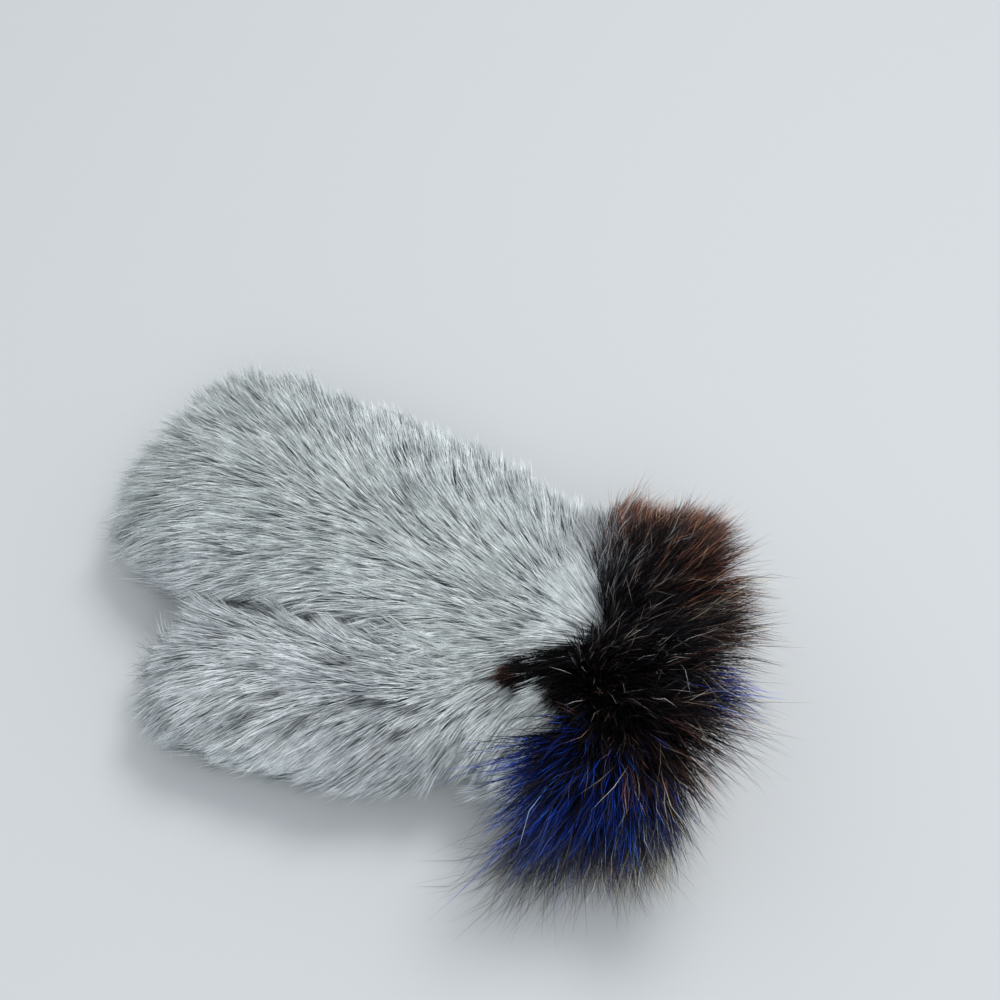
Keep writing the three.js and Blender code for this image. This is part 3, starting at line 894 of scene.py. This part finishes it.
# How the cuff's fur lies at each angle round it, in degrees and shares. It parts at the whorl and
# falls to both sides, and where it stands straight up it has the share STANDING of its length.
LIE = (
    # angle, lean at the hand's end and at the mouth, length at the hand's end and at the mouth
    (0, 30, 66, 0.76, 0.62),
    (25, 22, 66, 0.76, 0.56),
    (45, 8, 68, 0.7, 0.72),
    (65, -10, 70, 0.66, 1.0),
    (90, -2, 72, 0.64, 1.26),
    (104, -6, 74, 0.75, 1.42),
    (116, -16, 70, 0.9, 1.42),
    (134, -32, 60, 1.15, 1.5),
    (144, -48, 56, 1.45, 1.42),
    (153, -58, 54, 1.7, 1.25),
    (165, -60, 48, 1.8, 0.88),
    (180, -48, 42, 1.6, 0.64),
    (200, -32, 44, 1.45, 0.75),
    (240, -18, 56, 1.0, 0.75),
    (300, 5, 58, 0.85, 0.75),
    (360, 30, 66, 0.76, 0.62),
)
STANDING = 0.62
TOWARD_MOUTH_POWER = 0.85
LEAN_WAVES = 7
LEAN_LOOSE = 18, 9
LEAN_LOOSE_SHARES = 0, 0.25
FALL = 0.75
FALL_WAVES = 0.12
FALL_LOOSE = 0.14
FIRST_BEND = 0.5
DROOP = 0.12
LONG_JOINTS = 5
LONG_WIDTHS = 0.7, 1.2
LONG_ROOT = 4 * MM
LONG_REACH = 12 * MM
FRINGE_ANGLE = 192
FRINGE_HALF = 26

# Loose hair stays a little past the solids' box, and strands end unevenly before that
CEILING = cad_box[1][2] + 8 * MM
FRONT_LIMIT = cad_box[0][1] - 13 * MM
UNEVEN_MARGIN = 10
SHORTEST = 0.2


def beside_wedge(places, share, angle):
    """All of the cuff apart from where silver fur grows on it."""
    taken = (up_to_whorl(places, share, angle) == 1) | (share < 0)
    return np.where(taken, 0, seen_more(places, share, angle))


def low_fringe(places, share, angle):
    """The long pale hair that lies out over the floor on the thumb's side."""
    return np.where((np.abs(np.degrees(angle) - FRINGE_ANGLE) < FRINGE_HALF) & (share > 0), 1.0, 0)


def kept_inside(rng, paths):
    """How much of its length each strand keeps, to stay under CEILING and behind FRONT_LIMIT."""
    margin = rng.uniform(0, UNEVEN_MARGIN, len(paths)) * MM
    rise, reach = (paths[:, -1] - paths[:, 0])[:, 2], (paths[:, 0] - paths[:, -1])[:, 1]
    above = (CEILING - margin - paths[:, 0, 2]) / np.maximum(rise, 1e-6)
    before = (paths[:, 0, 1] - FRONT_LIMIT - margin) / np.maximum(reach, 1e-6)
    return np.minimum(np.clip(above, SHORTEST, 1), np.clip(before, SHORTEST, 1))


def long_hair(
    name,
    seed,
    locks,
    per_lock,
    length,
    width,
    spread,
    narrow,
    loose,
    wave=0.03,
    guard=False,
    choose=beside_wedge,
):
    """Long fur of the cuff, with lengths, widths and the locks' spread in mm."""
    rng = np.random.default_rng(seed)
    share, angle = cuff.scattered(rng, locks, LONG_REACH, choose)
    roots, out = cuff.off(share, angle, LONG_ROOT), cuff.normal(share, angle)
    table = np.array(LIE).T
    rows = [np.interp(np.degrees(angle), table[0], row) for row in table[1:]]
    toward_mouth = share**TOWARD_MOUTH_POWER
    lean = rows[0] + (rows[1] - rows[0]) * toward_mouth + LEAN_WAVES * flow_waves[0](roots)
    lean = lean + rng.normal(0, 1, locks) * np.interp(share, LEAN_LOOSE_SHARES, LEAN_LOOSE)
    lean = np.radians(lean)[:, None]
    way = out * np.cos(lean) + cuff.axis * np.sin(lean)
    round_way = unit(np.cross(np.broadcast_to(cuff.axis, out.shape), out))
    fall = FALL * np.sin(angle - WHORL_ANGLE) + FALL_WAVES * flow_waves[1](roots)
    fall = fall + rng.normal(0, FALL_LOOSE, locks)
    way = unit(way + round_way * fall[:, None])
    first = unit(out + FIRST_BEND * way)
    last = unit(way + np.array((0, 0, -DROOP)))
    lengths = rows[2] + (rows[3] - rows[2]) * toward_mouth
    lengths = lengths * (STANDING + (1 - STANDING) * np.abs(np.sin(lean[:, 0])))
    lengths = length * MM * lengths * (1 + LENGTH_WAVES * lift_waves[0](roots))
    paths, lock = strands_from(
        rng, roots, out, first, last, lengths, per_lock, spread * MM, narrow, LONG_JOINTS, loose, wave
    )
    kept = kept_inside(rng, paths)
    paths = paths[:, :1] + (paths - paths[:, :1]) * kept[:, None, None]
    facing = unit(rng.normal(size=(len(lock), 3)))
    widths = width * MM * rng.uniform(*LONG_WIDTHS, len(lock))
    colours = dye_colours(rng, share, angle, lock, LONG_JOINTS, guard)
    piece = ribbons(name, paths, widths, facing, colours, dyed_fur)
    finish_piece(piece, "fur_cuff")


def cuff_underfur(share, angle):
    """Thick along the cuff, and thin at the rim of the mouth."""
    rim = np.clip((share - RIM_START) / (1 - RIM_START), 0, 1)
    return CUFF_UNDERFUR * (1 - RIM_THINNING * rim**2)


def cuff_shell():
    """The cuff's skin, with silver underfur where the ring reaches back to the slanting seam."""
    shares = np.linspace(0, 1, CUFF_ROWS)
    made = shell("cuff_skin", cuff, cuff_underfur, shares, CUFF_SIDES, cuff_skin)
    made.data.materials.append(silver_skin)
    silver_index = len(made.data.materials) - 1
    for face in made.data.polygons:
        row, side = divmod(min(face.vertices), CUFF_SIDES)
        if row < len(shares):
            start = cuff.start(side * math.tau / CUFF_SIDES)
            if start + (1 - start) * shares[row] < 0:
                face.material_index = silver_index
    finish_piece(made, "fur_cuff")


cuff_shell()
long_hair(
    "cuff_fur_deep", 21, 2500, 8, length=33, width=0.42, spread=2.2, narrow=0.6, loose=0.12
)
long_hair(
    "cuff_fur_long", 22, 4400, 5, length=40, width=0.28, spread=1.8, narrow=0.35, loose=0.16
)
long_hair(
    "cuff_guard_hair",
    23,
    2600,
    3,
    length=47,
    width=0.2,
    spread=1.4,
    narrow=0.6,
    loose=0.3,
    wave=0.07,
    guard=True,
)
long_hair(
    "cuff_fringe",
    24,
    1100,
    3,
    length=56,
    width=0.2,
    spread=2.4,
    narrow=0.5,
    loose=0.22,
    wave=0.08,
    guard=True,
    choose=low_fringe,
)


# Floor, light and camera
FLOOR_HALF = 4.0
FLOOR_ROUGHNESS = 0.6
WORLD_STRENGTH = 0.8


def floor():
    size = FLOOR_HALF
    points = [(-size, -size, 0), (size, -size, 0), (size, size, 0), (-size, size, 0)]
    material = bpy.data.materials.new("table")
    material.use_nodes = True
    shader = material.node_tree.nodes["Principled BSDF"]
    shader.inputs["Base Color"].default_value = (*srgb(199, 202, 204), 1)
    shader.inputs["Roughness"].default_value = FLOOR_ROUGHNESS
    mesh_object("table", points, [(0, 1, 2, 3)], material)


def area_light(name, place, size, power, colour):
    data = bpy.data.lights.new(name, "AREA")
    data.shape = "DISK"
    data.size = size
    data.energy = power
    data.color = colour
    light = bpy.data.objects.new(name, data)
    bpy.context.scene.collection.objects.link(light)
    light.location = place
    light.rotation_euler = (-Vector(place)).to_track_quat("-Z", "Y").to_euler()


def camera():
    data = bpy.data.cameras.new("camera")
    data.sensor_fit = "HORIZONTAL"
    data.angle = CAMERA_FIELD
    made = bpy.data.objects.new("camera", data)
    bpy.context.scene.collection.objects.link(made)
    flat = math.cos(CAMERA_ELEVATION)
    right = Vector((math.cos(CAMERA_AZIMUTH), math.sin(CAMERA_AZIMUTH), 0))
    back = Vector((right.y * flat, -right.x * flat, math.sin(CAMERA_ELEVATION)))
    look = -back - right * AIM_RIGHT - back.cross(right) * AIM_UP
    made.location = AIM + back * CAMERA_DISTANCE
    made.rotation_euler = look.to_track_quat("-Z", "Y").to_euler()
    made.rotation_euler.rotate_axis("Z", CAMERA_ROLL)
    bpy.context.scene.camera = made


def world():
    made = bpy.data.worlds.new("studio")
    made.use_nodes = True
    background = made.node_tree.nodes["Background"]
    background.inputs["Color"].default_value = (*srgb(224, 228, 233), 1)
    background.inputs["Strength"].default_value = WORLD_STRENGTH
    bpy.context.scene.world = made
    bpy.context.scene.view_settings.view_transform = "Standard"


floor()
area_light("window", (0.2, 0.85, 1.65), 0.9, 14.5, (1.0, 0.99, 0.97))
area_light("fill", (0.6, -1.0, 1.3), 1.2, 9, (0.96, 0.98, 1.0))
camera()
world()
